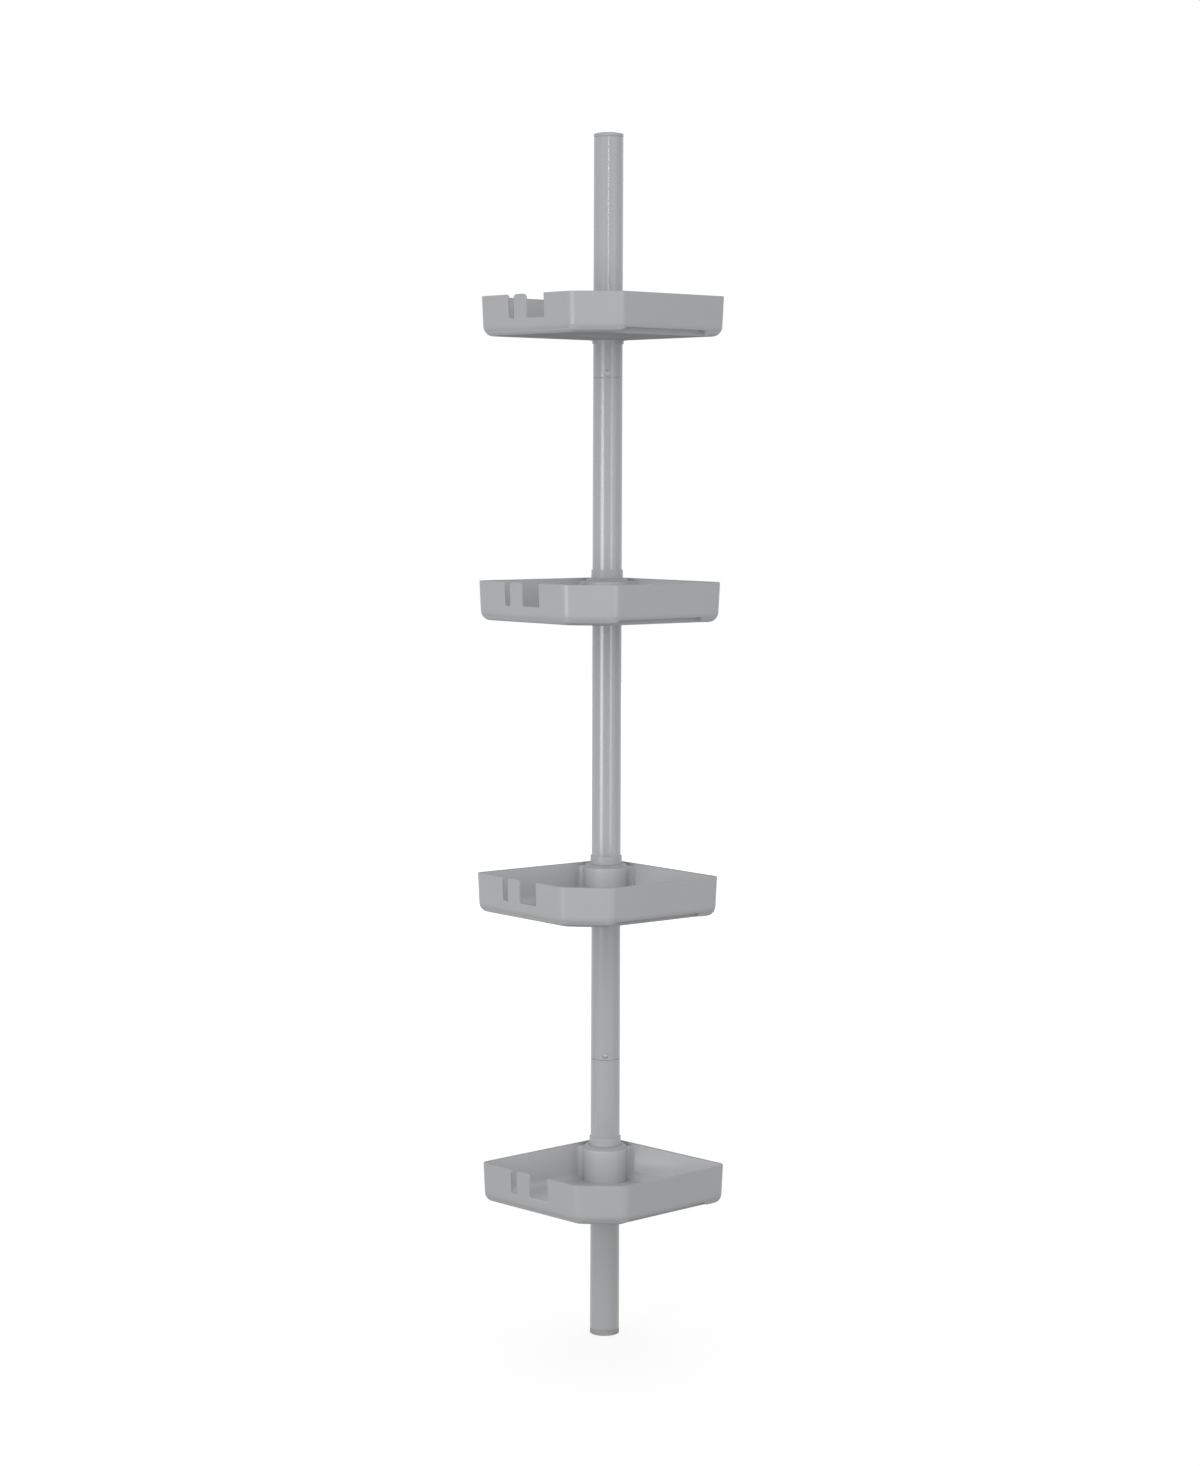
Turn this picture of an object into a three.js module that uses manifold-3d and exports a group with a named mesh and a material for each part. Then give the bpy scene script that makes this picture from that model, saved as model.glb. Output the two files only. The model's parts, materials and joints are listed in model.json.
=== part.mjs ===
// Tension pole shelf unit: a telescoping floor-to-ceiling pole that carries four square corner trays.
// Millimetres, +Z up. The origin is on the axis of the pole, on the floor under its rubber foot.
// In each tray's own frame the pole stands in the -X, +Y corner and the slotted wall faces -Y.

import * as THREE from 'three';
import { mergeVertices } from 'three/addons/utils/BufferGeometryUtils.js';
import Module from 'manifold-3d';

const wasm = await Module();
wasm.setup();

// Pole tubes
const poleDiameter = 28;
const poleWall = 0.8;
const bottomTubeLength = 261;
const middleTubeLength = 651;
const topTubeLength = 227;

// Fits: pressed, seated, sliding and turning pieces, and the hair line at a tube seam
const pressGap = 0.12;
const seatGap = 0.2;
const runGap = 0.3;
const seamGap = 0.3;

// Foot
const footPadThickness = 5;
const footPlugLength = 30;
const footPegDiameter = 8;
const footPegLength = 12;

// Sleeve couplers in the two seams
const couplerLength = 80;
const couplerWall = 0.95;

// Snap buttons: a stud on a leaf that is riveted to the coupler below it
const buttonDiameter = 4.5;
const buttonProud = 0.6;
const buttonAboveSeam = 4.5;
const buttonDomeHeight = 0.5;
const buttonFacingDegrees = -42;
const leafLength = 28;
const leafWidth = 5;
const leafThickness = 0.4;
const leafPastButton = 4;
const leafFootLength = 7;

// Bush in the mouth of the top tube
const bushFlangeThickness = 3;
const bushLength = 34;

// Extension tube and its eccentric lock
const extensionDiameter = 19;
const extensionWall = 0.8;
const lockAboveCoupler = 4;
const lockCamLength = 17;
const lockCamClearance = 0.8;
const lockPinDiameter = 8;
const lockPinOffset = 0.9;
const lockHeadDiameter = 14;
const lockHeadThickness = 3;
const lockCollarThickness = 3;
const lockPlugLength = 20;

// Sprung ceiling tip
const padProud = 1;
const padThickness = 7;
const padEdge = 0.8;
const plungerHeadThickness = 2;
const plungerStemLength = 60;
const plungerTravel = 12;
const stopPinDiameter = 3;
const stopPinDepth = 22;
const springLength = 80;
const springTurns = 12;
const springWire = 1.6;
const springSeatThickness = 8;
const springBossDiameter = 9;
const springBossHeight = 5;

// Trays
const traySide = 163;
const trayHeight = 37;
const trayBackReach = 23.2;
const trayWall = 2.4;
const trayFloor = 2.4;
const trayDraft = 1.8;
const trayBottomRound = 9;
const trayInnerRound = 6.6;
const traySideCornerRadius = 8;
const trayLeastCornerRadius = 0.8;
const trayChamferLeg = 33;
const trayChamferEdgeRadius = 12;
const hubRadius = 21.1;
const hubShoulderRadius = 4.5;
const hubFootChamfer = 0.6;
const bossWall = 2.2;

// Slots in the wall that faces -Y, measured from the tray's -X side
const narrowSlotStart = 42.5;
const narrowSlotWidth = 7.8;
const tabWidth = 17;
const wideSlotWidth = 25.3;
const slotDepth = 22;
const slotFlareRadius = 2.6;
const tabCornerRadius = 4;
const shoulderRadius = 1.5;

// Rebate under the wall that faces +X, and the drain slots in the floor
const rebateHeight = 5;
const rebateDepth = 10;
const rebateRamp = 8;
const rebateEndMargin = 16.7;
const rebateDraftDegrees = 5;
const drainCount = 5;
const drainLength = 30;
const drainWidth = 3.4;
const drainPitch = 13;

// Split wedge collars that carry the trays
const collarTopWall = 0.85;
const collarFlare = 0.8;
const collarRise = 8;
const collarTail = 3;
const collarTailStep = 0.8;
const collarSplit = 0.8;

// Shelves from the lowest up: the tray's place up its tube, as a share of the tube, and its turn in degrees
const shelfShares = [0.5396, 0.2312, 0.6505, 0.155];
const shelfTurnDegrees = [1.8, -2.8, -2, -0.5];

// Steps round a full circle, a small circle, each corner of a tray, and a tray's rounded bottom edge
const roundSides = 36;
const smallSides = 12;
const backCornerSteps = 9;
const sideCornerSteps = 3;
const bottomRoundSteps = 3;
const springSteps = 8;
const springSides = 5;
const overrun = 2;

// Heights that follow from the sizes above
const poleRadius = poleDiameter / 2;
const boreRadius = poleRadius - poleWall;
const bottomTubeBase = footPadThickness + seatGap;
const lowerSeam = bottomTubeBase + bottomTubeLength;
const middleTubeBase = lowerSeam + seamGap;
const upperSeam = middleTubeBase + middleTubeLength;
const topTubeBase = upperSeam + seamGap;
const topTubeTop = topTubeBase + topTubeLength;
const bushTop = topTubeTop + seatGap + bushFlangeThickness;
const poleTop = bushTop + padProud;

const greyPlastic = 0xa6a7a9;
const greyPaint = 0xa9abad;
const darkRubber = 0x8f9193;
const springSteel = 0xb8babd;

function paint(color, roughness, metalness) {
  return new THREE.MeshStandardMaterial({ color, roughness, metalness });
}

// A closed geometry as a solid: shared corners merged, empty triangles dropped, faces turned outwards
function solidOf(geometry) {
  const bare = geometry.clone();
  bare.deleteAttribute('normal');
  bare.deleteAttribute('uv');
  const welded = mergeVertices(bare);
  const points = welded.attributes.position;
  const faces = [];
  const a = new THREE.Vector3();
  const b = new THREE.Vector3();
  const c = new THREE.Vector3();
  let volume = 0;
  for (let i = 0; i < welded.index.count; i += 3) {
    const corner = [welded.index.getX(i), welded.index.getX(i + 1), welded.index.getX(i + 2)];
    if (new Set(corner).size < corner.length) {
      continue;
    }
    faces.push(corner);
    a.fromBufferAttribute(points, corner[0]);
    b.fromBufferAttribute(points, corner[1]);
    c.fromBufferAttribute(points, corner[2]);
    volume += a.dot(b.cross(c));
  }
  if (volume < 0) {
    faces.forEach((corner) => corner.reverse());
  }
  const vertProperties = new Float32Array(points.array);
  const triVerts = new Uint32Array(faces.flat());
  return new wasm.Manifold(new wasm.Mesh({ numProp: 3, vertProperties, triVerts }));
}

function geometryOf(solid) {
  const shape = solid.getMesh();
  const geometry = new THREE.BufferGeometry();
  geometry.setAttribute('position', new THREE.BufferAttribute(new Float32Array(shape.vertProperties), 3));
  geometry.setIndex(Array.from(shape.triVerts));
  geometry.computeVertexNormals();
  return geometry;
}

// A profile of [radius, height] pairs turned about the Z axis; it starts and ends on the axis or closes
function turned(profile, sides = roundSides) {
  const points = profile.map(([radius, height]) => new THREE.Vector2(radius, height));
  return solidOf(new THREE.LatheGeometry(points, sides).rotateX(Math.PI / 2));
}

function ring(inner, outer, base, top, sides = roundSides) {
  return turned([[inner, base], [outer, base], [outer, top], [inner, top], [inner, base]], sides);
}

function disc(radius, base, top, sides = roundSides) {
  return turned([[0, base], [radius, base], [radius, top], [0, top]], sides);
}

// A round bar lying along the X axis from one place to another, at a height
function barAlongX(radius, from, to, height, sides = smallSides) {
  const bar = new THREE.CylinderGeometry(radius, radius, to - from, sides);
  bar.rotateZ(-Math.PI / 2).translate((from + to) / 2, 0, height);
  return bar;
}

function block(low, high) {
  const size = high.map((value, k) => value - low[k]);
  const middle = high.map((value, k) => (value + low[k]) / 2);
  return new THREE.BoxGeometry(...size).translate(...middle);
}

// Rings of points, alike in count and counter-clockwise from above, joined from the lowest up
function loft(rings) {
  const count = rings[0].length;
  const faces = [];
  for (let level = 0; level + 1 < rings.length; level += 1) {
    for (let j = 0; j < count; j += 1) {
      const here = level * count + j;
      const next = level * count + ((j + 1) % count);
      faces.push(here, next, next + count, here, next + count, here + count);
    }
  }
  const lid = (rings.length - 1) * count;
  for (let j = 1; j + 1 < count; j += 1) {
    faces.push(0, j + 1, j, lid, lid + j, lid + j + 1);
  }
  const geometry = new THREE.BufferGeometry();
  geometry.setAttribute('position', new THREE.Float32BufferAttribute(rings.flat(2), 3));
  geometry.setIndex(faces);
  return solidOf(geometry);
}

const root = new THREE.Group();

function piece(name, solid, material, group = root) {
  const mesh = new THREE.Mesh(geometryOf(solid), material);
  mesh.name = name;
  group.add(mesh);
  return mesh;
}

// Foot: a rubber pad under the pole, held by its peg in a plug
const pegRadius = footPegDiameter / 2;
const footPegTop = footPadThickness + footPegLength;
const footPad = turned([
  [0, 0],
  [poleRadius, 0],
  [poleRadius, footPadThickness],
  [pegRadius, footPadThickness],
  [pegRadius, footPegTop],
  [0, footPegTop],
]);
const footPlugTop = bottomTubeBase + footPlugLength;
const pegHole = disc(pegRadius + pressGap, bottomTubeBase - overrun, footPegTop + seatGap);
const footPlug = disc(boreRadius - pressGap, bottomTubeBase, footPlugTop).subtract(pegHole);
piece('foot_pad', footPad, paint(darkRubber, 0.85, 0));
piece('foot_plug', footPlug, paint(greyPlastic, 0.6, 0));

// Snap button joints
const couplerOuter = boreRadius - pressGap;
const couplerInner = couplerOuter - couplerWall;
const buttonRadius = buttonDiameter / 2;
const buttonTurn = THREE.MathUtils.degToRad(buttonFacingDegrees);
const leafFace = Math.sqrt((couplerInner - pressGap) ** 2 - (leafWidth / 2) ** 2);

function buttonHole(seam) {
  const height = seam + buttonAboveSeam;
  const bar = barAlongX(buttonRadius + runGap, couplerInner / 2, poleRadius + overrun, height);
  return solidOf(bar.rotateZ(buttonTurn));
}

function coupler(seam) {
  const half = couplerLength / 2;
  return ring(couplerInner, couplerOuter, seam - half, seam + half).subtract(buttonHole(seam));
}

function snapButton(side, seam) {
  const group = new THREE.Group();
  group.rotation.z = buttonTurn;
  root.add(group);
  const height = seam + buttonAboveSeam;
  const hinge = height - leafLength;
  const back = leafFace - leafThickness;
  const halfWidth = leafWidth / 2;
  const leaf = block([back, -halfWidth, hinge], [leafFace, halfWidth, height + leafPastButton]);
  const footTop = hinge - runGap;
  const leafFoot = block([back, -halfWidth, footTop - leafFootLength], [leafFace, halfWidth, footTop]);
  const tip = poleRadius + buttonProud;
  const stud = turned([
    [0, leafFace + seatGap / 2],
    [buttonRadius, leafFace + seatGap / 2],
    [buttonRadius, tip - buttonDomeHeight],
    [buttonRadius - buttonDomeHeight, tip],
    [0, tip],
  ], smallSides);
  const lying = geometryOf(stud).rotateY(Math.PI / 2).translate(0, 0, height);
  piece(`${side}_button`, solidOf(lying), paint(springSteel, 0.35, 0.8), group);
  piece(`${side}_button_leaf`, solidOf(leaf), paint(springSteel, 0.4, 0.9), group);
  piece(`${side}_leaf_foot`, solidOf(leafFoot), paint(springSteel, 0.4, 0.9), group);
}

piece('lower_coupler', coupler(lowerSeam), paint(greyPlastic, 0.6, 0));
piece('upper_coupler', coupler(upperSeam), paint(greyPlastic, 0.6, 0));
snapButton('lower', lowerSeam);
snapButton('upper', upperSeam);

// Pole tubes: the upper tube of each seam has the hole for its snap button
const bottomTube = ring(boreRadius, poleRadius, bottomTubeBase, lowerSeam);
const middleTube = ring(boreRadius, poleRadius, middleTubeBase, upperSeam).subtract(buttonHole(lowerSeam));
const topTube = ring(boreRadius, poleRadius, topTubeBase, topTubeTop).subtract(buttonHole(upperSeam));
piece('bottom_tube', bottomTube, paint(greyPaint, 0.3, 0.2));
piece('middle_tube', middleTube, paint(greyPaint, 0.3, 0.2));
piece('top_tube', topTube, paint(greyPaint, 0.3, 0.2));

// Bush that guides the extension tube in the mouth of the pole
const extensionRadius = extensionDiameter / 2;
const extensionBore = extensionRadius - extensionWall;
const guideRadius = extensionRadius + runGap;
const bushSeat = topTubeTop + seatGap;
const mouthBush = turned([
  [guideRadius, bushTop],
  [guideRadius, bushSeat - bushLength],
  [boreRadius - pressGap, bushSeat - bushLength],
  [boreRadius - pressGap, bushSeat],
  [poleRadius, bushSeat],
  [poleRadius, bushTop],
  [guideRadius, bushTop],
]);
piece('mouth_bush', mouthBush, paint(greyPlastic, 0.5, 0));

// Eccentric lock at the extension tube's lower end, just above the lower coupler when the pole is closed
const lockHeadBase = lowerSeam + couplerLength / 2 + lockAboveCoupler;
const lockPinBase = lockHeadBase + lockHeadThickness;
const lockCamBase = lockPinBase + seatGap;
const lockCamTop = lockCamBase + lockCamLength;
const lockCollarBase = lockCamTop + seatGap;
const extensionBase = lockCollarBase + lockCollarThickness;
const lockPinRadius = lockPinDiameter / 2;
const lockHead = disc(lockHeadDiameter / 2, lockHeadBase, lockPinBase);
const lockCollar = disc(extensionRadius, lockCollarBase, extensionBase);
const lockPlug = disc(extensionBore - pressGap, extensionBase - seatGap, extensionBase + lockPlugLength);
const lockPin = geometryOf(disc(lockPinRadius, lockPinBase - seatGap, lockCollarBase + seatGap, smallSides));
const lockCore = lockHead.add(lockCollar).add(lockPlug).add(solidOf(lockPin.translate(lockPinOffset, 0, 0)));
const camHoleRadius = lockPinRadius + runGap;
const camHole = geometryOf(disc(camHoleRadius, lockCamBase - overrun, lockCamTop + overrun, smallSides));
const lockCam = disc(boreRadius - lockCamClearance, lockCamBase, lockCamTop);
const lockCamRing = lockCam.subtract(solidOf(camHole.translate(lockPinOffset, 0, 0)));
piece('lock_core', lockCore, paint(greyPlastic, 0.6, 0));
piece('lock_cam', lockCamRing, paint(greyPlastic, 0.6, 0));

// Sprung tip: pad, plunger, coil spring and its seat, and the stop pin across the extension tube
const padBase = poleTop - padThickness;
const plungerTop = padBase - seatGap;
const plungerHeadBase = plungerTop - plungerHeadThickness;
const extensionTop = plungerHeadBase - plungerTravel - runGap;
const plungerBase = plungerHeadBase - plungerStemLength;
const plungerRadius = extensionBore - runGap;
const springTop = plungerBase - seatGap;
const springBase = springTop - springLength;
const seatTop = springBase - seatGap;
const stopPinHeight = extensionTop - stopPinDepth;
const stopPinRadius = stopPinDiameter / 2;

const pad = turned([
  [0, padBase],
  [extensionRadius, padBase],
  [extensionRadius, poleTop - padEdge],
  [extensionRadius - padEdge, poleTop],
  [0, poleTop],
]);

const plungerSolid = turned([
  [0, plungerBase],
  [plungerRadius, plungerBase],
  [plungerRadius, plungerHeadBase],
  [extensionRadius, plungerHeadBase],
  [extensionRadius, plungerTop],
  [0, plungerTop],
]);
const slotHalf = stopPinRadius + runGap;
const slotLow = stopPinHeight - slotHalf;
const slotHigh = stopPinHeight + plungerTravel + slotHalf;
const slotReach = plungerRadius + overrun;
const pinSlot = block([-slotReach, -slotHalf, slotLow], [slotReach, slotHalf, slotHigh]);
const plunger = plungerSolid.subtract(solidOf(pinSlot));

const pinReach = extensionRadius + overrun;
const pinHole = solidOf(barAlongX(stopPinRadius + pressGap, -pinReach, pinReach, stopPinHeight));
const pinLength = extensionRadius - pressGap;
const stopPin = solidOf(barAlongX(stopPinRadius, -pinLength, pinLength, stopPinHeight));
const extensionTube = ring(extensionBore, extensionRadius, extensionBase, extensionTop).subtract(pinHole);

const seatDisc = disc(extensionBore - pressGap, seatTop - springSeatThickness, seatTop);
const seatBoss = disc(springBossDiameter / 2, seatTop - seatGap, seatTop + springBossHeight, smallSides);

const wireRadius = springWire / 2;
const coilRadius = plungerRadius - wireRadius - runGap;

class CoilPath extends THREE.Curve {
  getPoint(share, target = new THREE.Vector3()) {
    const angle = 2 * Math.PI * springTurns * share;
    const rise = springBase + wireRadius + share * (springLength - springWire);
    return target.set(coilRadius * Math.cos(angle), coilRadius * Math.sin(angle), rise);
  }
}

// The least clear space between one turn of the coil and the next
function leastTurnGap(path) {
  const points = path.getPoints(springTurns * springSteps);
  let least = Infinity;
  points.forEach((point, i) => {
    for (let j = i + springSteps / 2; j < points.length; j += 1) {
      least = Math.min(least, point.distanceTo(points[j]));
    }
  });
  return least - springWire;
}

const coilPath = new CoilPath();
const wireOutline = Array.from({ length: springSides }, (_, k) => {
  const angle = (2 * Math.PI * k) / springSides;
  return new THREE.Vector2(wireRadius * Math.cos(angle), wireRadius * Math.sin(angle));
});
const coil = new THREE.ExtrudeGeometry(new THREE.Shape(wireOutline), {
  steps: springTurns * springSteps,
  extrudePath: coilPath,
  bevelEnabled: false,
});
console.log('least gap between the turns of the spring, mm', leastTurnGap(coilPath).toFixed(2));

piece('extension_tube', extensionTube, paint(greyPaint, 0.3, 0.2));
piece('stop_pin', stopPin, paint(springSteel, 0.35, 0.8));
piece('ceiling_plunger', plunger, paint(greyPlastic, 0.5, 0));
piece('ceiling_pad', pad, paint(darkRubber, 0.85, 0));
piece('spring_seat', seatDisc.add(seatBoss), paint(greyPlastic, 0.6, 0));
piece('tension_spring', solidOf(coil), paint(springSteel, 0.4, 0.9));

// Wedge collars: two halves round the pole, wider below so that a tray jams on them under its load
const collarBore = poleRadius + pressGap;
const collarTopRadius = collarBore + collarTopWall;
const collarBottomRadius = collarTopRadius + collarFlare;
const collarTop = trayHeight + collarRise;
const collarTailTop = -runGap;
const collarBase = collarTailTop - collarTail;

function collarRadiusAt(height) {
  return THREE.MathUtils.mapLinear(height, 0, collarTop, collarBottomRadius, collarTopRadius);
}

function collarHalf(direction) {
  const tailRadius = collarBottomRadius - collarTailStep;
  const whole = turned([
    [collarBore, collarBase],
    [tailRadius, collarBase],
    [tailRadius, collarTailTop],
    [collarRadiusAt(collarTailTop), collarTailTop],
    [collarTopRadius, collarTop],
    [collarBore, collarTop],
    [collarBore, collarBase],
  ]);
  const reach = collarBottomRadius + overrun;
  const splitEdge = collarSplit / 2;
  const cutter = block([-reach, -reach, collarBase - overrun], [reach, splitEdge, collarTop + overrun]);
  const turn = Math.PI / 4 + (direction > 0 ? 0 : Math.PI);
  return whole.subtract(solidOf(cutter.rotateZ(turn)));
}

// Corner arcs of a convex outline: each corner is [x, y, radius, steps]
function roundedOutline(corners) {
  const outline = [];
  corners.forEach(([x, y, radius, steps], k) => {
    const before = corners[(k + corners.length - 1) % corners.length];
    const after = corners[(k + 1) % corners.length];
    const corner = new THREE.Vector2(x, y);
    const back = new THREE.Vector2(before[0], before[1]).sub(corner).normalize();
    const ahead = new THREE.Vector2(after[0], after[1]).sub(corner).normalize();
    const half = Math.acos(THREE.MathUtils.clamp(back.dot(ahead), -1, 1)) / 2;
    const inward = back.clone().add(ahead).normalize();
    const centre = corner.clone().addScaledVector(inward, radius / Math.sin(half));
    const start = corner.clone().addScaledVector(back, radius / Math.tan(half)).sub(centre);
    const sweep = Math.PI - 2 * half;
    for (let step = 0; step <= steps; step += 1) {
      const spoke = start.clone().rotateAround(new THREE.Vector2(), (sweep * step) / steps);
      outline.push(spoke.add(centre));
    }
  });
  return outline;
}

const trayFar = traySide - trayBackReach;

// The tray's plan, drawn in by an inset, at one height
function trayRing(inset, height) {
  const near = trayBackReach - inset;
  const far = trayFar - inset;
  const sideRadius = Math.max(traySideCornerRadius - inset, trayLeastCornerRadius);
  const leg = trayChamferLeg - inset * (2 - Math.SQRT2);
  const outline = roundedOutline([
    [-near, -far, sideRadius, sideCornerSteps],
    [far - leg, -far, trayChamferEdgeRadius, sideCornerSteps],
    [far, -far + leg, trayChamferEdgeRadius, sideCornerSteps],
    [far, near, sideRadius, sideCornerSteps],
    [-near, near, near, backCornerSteps],
  ]);
  return outline.map((point) => [point.x, point.y, height]);
}

function draftAt(height) {
  return trayDraft * (1 - height / trayHeight);
}

// A tray-shaped solid whose lower edge is rounded; the wall is its inset from the outer face
function trayBody(wall, base, top, radius) {
  const rings = [];
  for (let step = 0; step <= bottomRoundSteps; step += 1) {
    const angle = (Math.PI / 2) * (step / bottomRoundSteps);
    const height = base + radius * (1 - Math.cos(angle));
    rings.push(trayRing(wall + draftAt(height) + radius * (1 - Math.sin(angle)), height));
  }
  rings.push(trayRing(wall + draftAt(top), top));
  return loft(rings);
}

const alongX = new THREE.Matrix4().makeBasis(
  new THREE.Vector3(0, 1, 0),
  new THREE.Vector3(0, 0, 1),
  new THREE.Vector3(1, 0, 0),
);

const rebateSlope = Math.tan(THREE.MathUtils.degToRad(rebateDraftDegrees));
const rebateLean = new THREE.Matrix4().makeShear(0, 0, 0, 0, rebateSlope, 0);

// The rebate's long face under the +X wall, leaning outwards; a skin round it is the ledge inside the tray
function rebateBar(skin) {
  const from = -trayFar + trayChamferLeg - skin;
  const to = trayBackReach - rebateEndMargin + skin;
  const top = rebateHeight + skin;
  const face = new THREE.Shape([
    new THREE.Vector2(from, 0),
    new THREE.Vector2(from, -overrun),
    new THREE.Vector2(to, -overrun),
    new THREE.Vector2(to, 0),
    new THREE.Vector2(to - rebateRamp, top),
    new THREE.Vector2(from + rebateRamp, top),
  ]);
  const start = trayFar - trayDraft - rebateDepth - skin;
  const bar = new THREE.ExtrudeGeometry(face, { depth: trayFar + overrun - start, bevelEnabled: false });
  return solidOf(bar.applyMatrix4(alongX).applyMatrix4(rebateLean).translate(start, 0, 0));
}

// A notch in the -Y wall, open at the rim, whose upper corners are rounded
function notch(from, width, leftRadius, rightRadius) {
  const to = from + width;
  const foot = trayHeight - slotDepth;
  const above = trayHeight + overrun;
  const face = new THREE.Shape();
  face.moveTo(from - leftRadius, above);
  face.lineTo(from - leftRadius, trayHeight);
  face.absarc(from - leftRadius, trayHeight - leftRadius, leftRadius, Math.PI / 2, 0, true);
  face.lineTo(from, foot);
  face.lineTo(to, foot);
  face.lineTo(to, trayHeight - rightRadius);
  face.absarc(to + rightRadius, trayHeight - rightRadius, rightRadius, Math.PI, Math.PI / 2, true);
  face.lineTo(to + rightRadius, above);
  const depth = trayWall + trayDraft + 2 * overrun;
  const options = { depth, bevelEnabled: false, curveSegments: sideCornerSteps };
  const cut = new THREE.ExtrudeGeometry(face, options);
  return solidOf(cut.rotateX(Math.PI / 2).translate(0, depth - trayFar - overrun, 0));
}

function drainSlot(index) {
  const middle = (trayFar - trayBackReach) / 2;
  const half = (drainLength - drainWidth) / 2;
  const radius = drainWidth / 2;
  const face = new THREE.Shape();
  face.absarc(half, 0, radius, -Math.PI / 2, Math.PI / 2, false);
  face.absarc(-half, 0, radius, Math.PI / 2, 1.5 * Math.PI, false);
  const depth = trayFloor + 2 * overrun;
  const options = { depth, bevelEnabled: false, curveSegments: sideCornerSteps };
  const cut = new THREE.ExtrudeGeometry(face, options);
  const across = (index - (drainCount - 1) / 2) * drainPitch;
  return solidOf(cut.translate(middle, across - middle, -overrun));
}

function hubSolid() {
  const foot = hubRadius + hubFootChamfer;
  const profile = [[0, 0], [foot, 0], [foot, trayFloor], [hubRadius, trayFloor + hubFootChamfer]];
  for (let step = 0; step <= bottomRoundSteps; step += 1) {
    const angle = (Math.PI / 2) * (step / bottomRoundSteps);
    const radius = hubRadius - hubShoulderRadius * (1 - Math.cos(angle));
    profile.push([radius, trayHeight - hubShoulderRadius * (1 - Math.sin(angle))]);
  }
  profile.push([0, trayHeight]);
  return turned(profile);
}

function traySolid() {
  const outer = trayBody(0, 0, trayHeight, trayBottomRound);
  const inside = trayBody(trayWall, trayFloor, trayHeight + overrun, trayInnerRound);
  const hollow = inside.subtract(rebateBar(trayWall));
  const boss = disc(collarBottomRadius + seatGap + bossWall, 0, trayHeight / 2);
  const socket = turned([
    [0, -overrun],
    [collarRadiusAt(-overrun) + seatGap, -overrun],
    [collarRadiusAt(trayHeight + overrun) + seatGap, trayHeight + overrun],
    [0, trayHeight + overrun],
  ]);
  let tray = outer.subtract(hollow).add(hubSolid().intersect(outer)).add(boss);
  tray = tray.subtract(socket).subtract(rebateBar(0));
  const slotFrom = narrowSlotStart - trayBackReach;
  tray = tray.subtract(notch(slotFrom, narrowSlotWidth, slotFlareRadius, tabCornerRadius));
  const wideFrom = slotFrom + narrowSlotWidth + tabWidth;
  tray = tray.subtract(notch(wideFrom, wideSlotWidth, tabCornerRadius, shoulderRadius));
  for (let index = 0; index < drainCount; index += 1) {
    tray = tray.subtract(drainSlot(index));
  }
  return tray;
}

const tray = traySolid();
const collarFront = collarHalf(-1);
const collarBack = collarHalf(1);

// The tube that each shelf is clamped to, as its base and length
const shelfTubes = [
  [bottomTubeBase, bottomTubeLength],
  [middleTubeBase, middleTubeLength],
  [middleTubeBase, middleTubeLength],
  [topTubeBase, topTubeLength],
];

shelfShares.forEach((share, k) => {
  const [tubeBase, tubeLength] = shelfTubes[k];
  const shelf = new THREE.Group();
  shelf.position.z = tubeBase + share * tubeLength;
  shelf.rotation.z = THREE.MathUtils.degToRad(shelfTurnDegrees[k]);
  root.add(shelf);
  piece(`tray_${k + 1}`, tray, paint(greyPlastic, 0.42, 0), shelf);
  piece(`collar_front_${k + 1}`, collarFront, paint(greyPlastic, 0.5, 0), shelf);
  piece(`collar_back_${k + 1}`, collarBack, paint(greyPlastic, 0.5, 0), shelf);
});

export default root;
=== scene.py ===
import json
import math

import bmesh
import bpy
from mathutils import Matrix, Vector


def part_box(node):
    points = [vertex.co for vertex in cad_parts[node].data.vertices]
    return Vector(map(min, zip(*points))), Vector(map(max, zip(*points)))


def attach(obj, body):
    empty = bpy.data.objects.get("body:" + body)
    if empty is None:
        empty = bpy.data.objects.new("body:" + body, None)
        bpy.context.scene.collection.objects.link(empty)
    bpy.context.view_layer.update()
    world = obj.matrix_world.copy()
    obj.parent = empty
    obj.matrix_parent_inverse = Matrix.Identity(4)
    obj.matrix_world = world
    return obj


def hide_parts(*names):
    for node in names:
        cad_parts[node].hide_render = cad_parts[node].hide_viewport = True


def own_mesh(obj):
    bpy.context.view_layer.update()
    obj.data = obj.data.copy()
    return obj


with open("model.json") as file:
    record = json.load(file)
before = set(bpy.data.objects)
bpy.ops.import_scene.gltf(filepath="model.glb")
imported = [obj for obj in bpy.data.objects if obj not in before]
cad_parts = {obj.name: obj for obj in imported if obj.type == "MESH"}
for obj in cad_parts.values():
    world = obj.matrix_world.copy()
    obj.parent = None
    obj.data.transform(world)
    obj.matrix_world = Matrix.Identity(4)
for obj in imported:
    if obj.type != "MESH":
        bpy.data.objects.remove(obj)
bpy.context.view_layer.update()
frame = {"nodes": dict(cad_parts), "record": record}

# A tension pole shelf unit. Sizes are in millimetres and degrees; the meshes come out in metres.
mm = 0.001

cameraPlace = {
    "distance": 2902.4,  # level, from the pole's axis
    "height": 830,
    "azimuth": 48,  # from -Y towards +X
    "lookDown": 2.5,
    "roll": 0.205,
    "lens": 74.8,
    "shift": (-0.0048, -0.0887),
}


def link(obj):
    bpy.context.scene.collection.objects.link(obj)
    return obj


# A direction on the level, so many degrees from -Y towards +X
def levelWay(degrees):
    return Vector((math.sin(math.radians(degrees)), -math.cos(math.radians(degrees)), 0))


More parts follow.
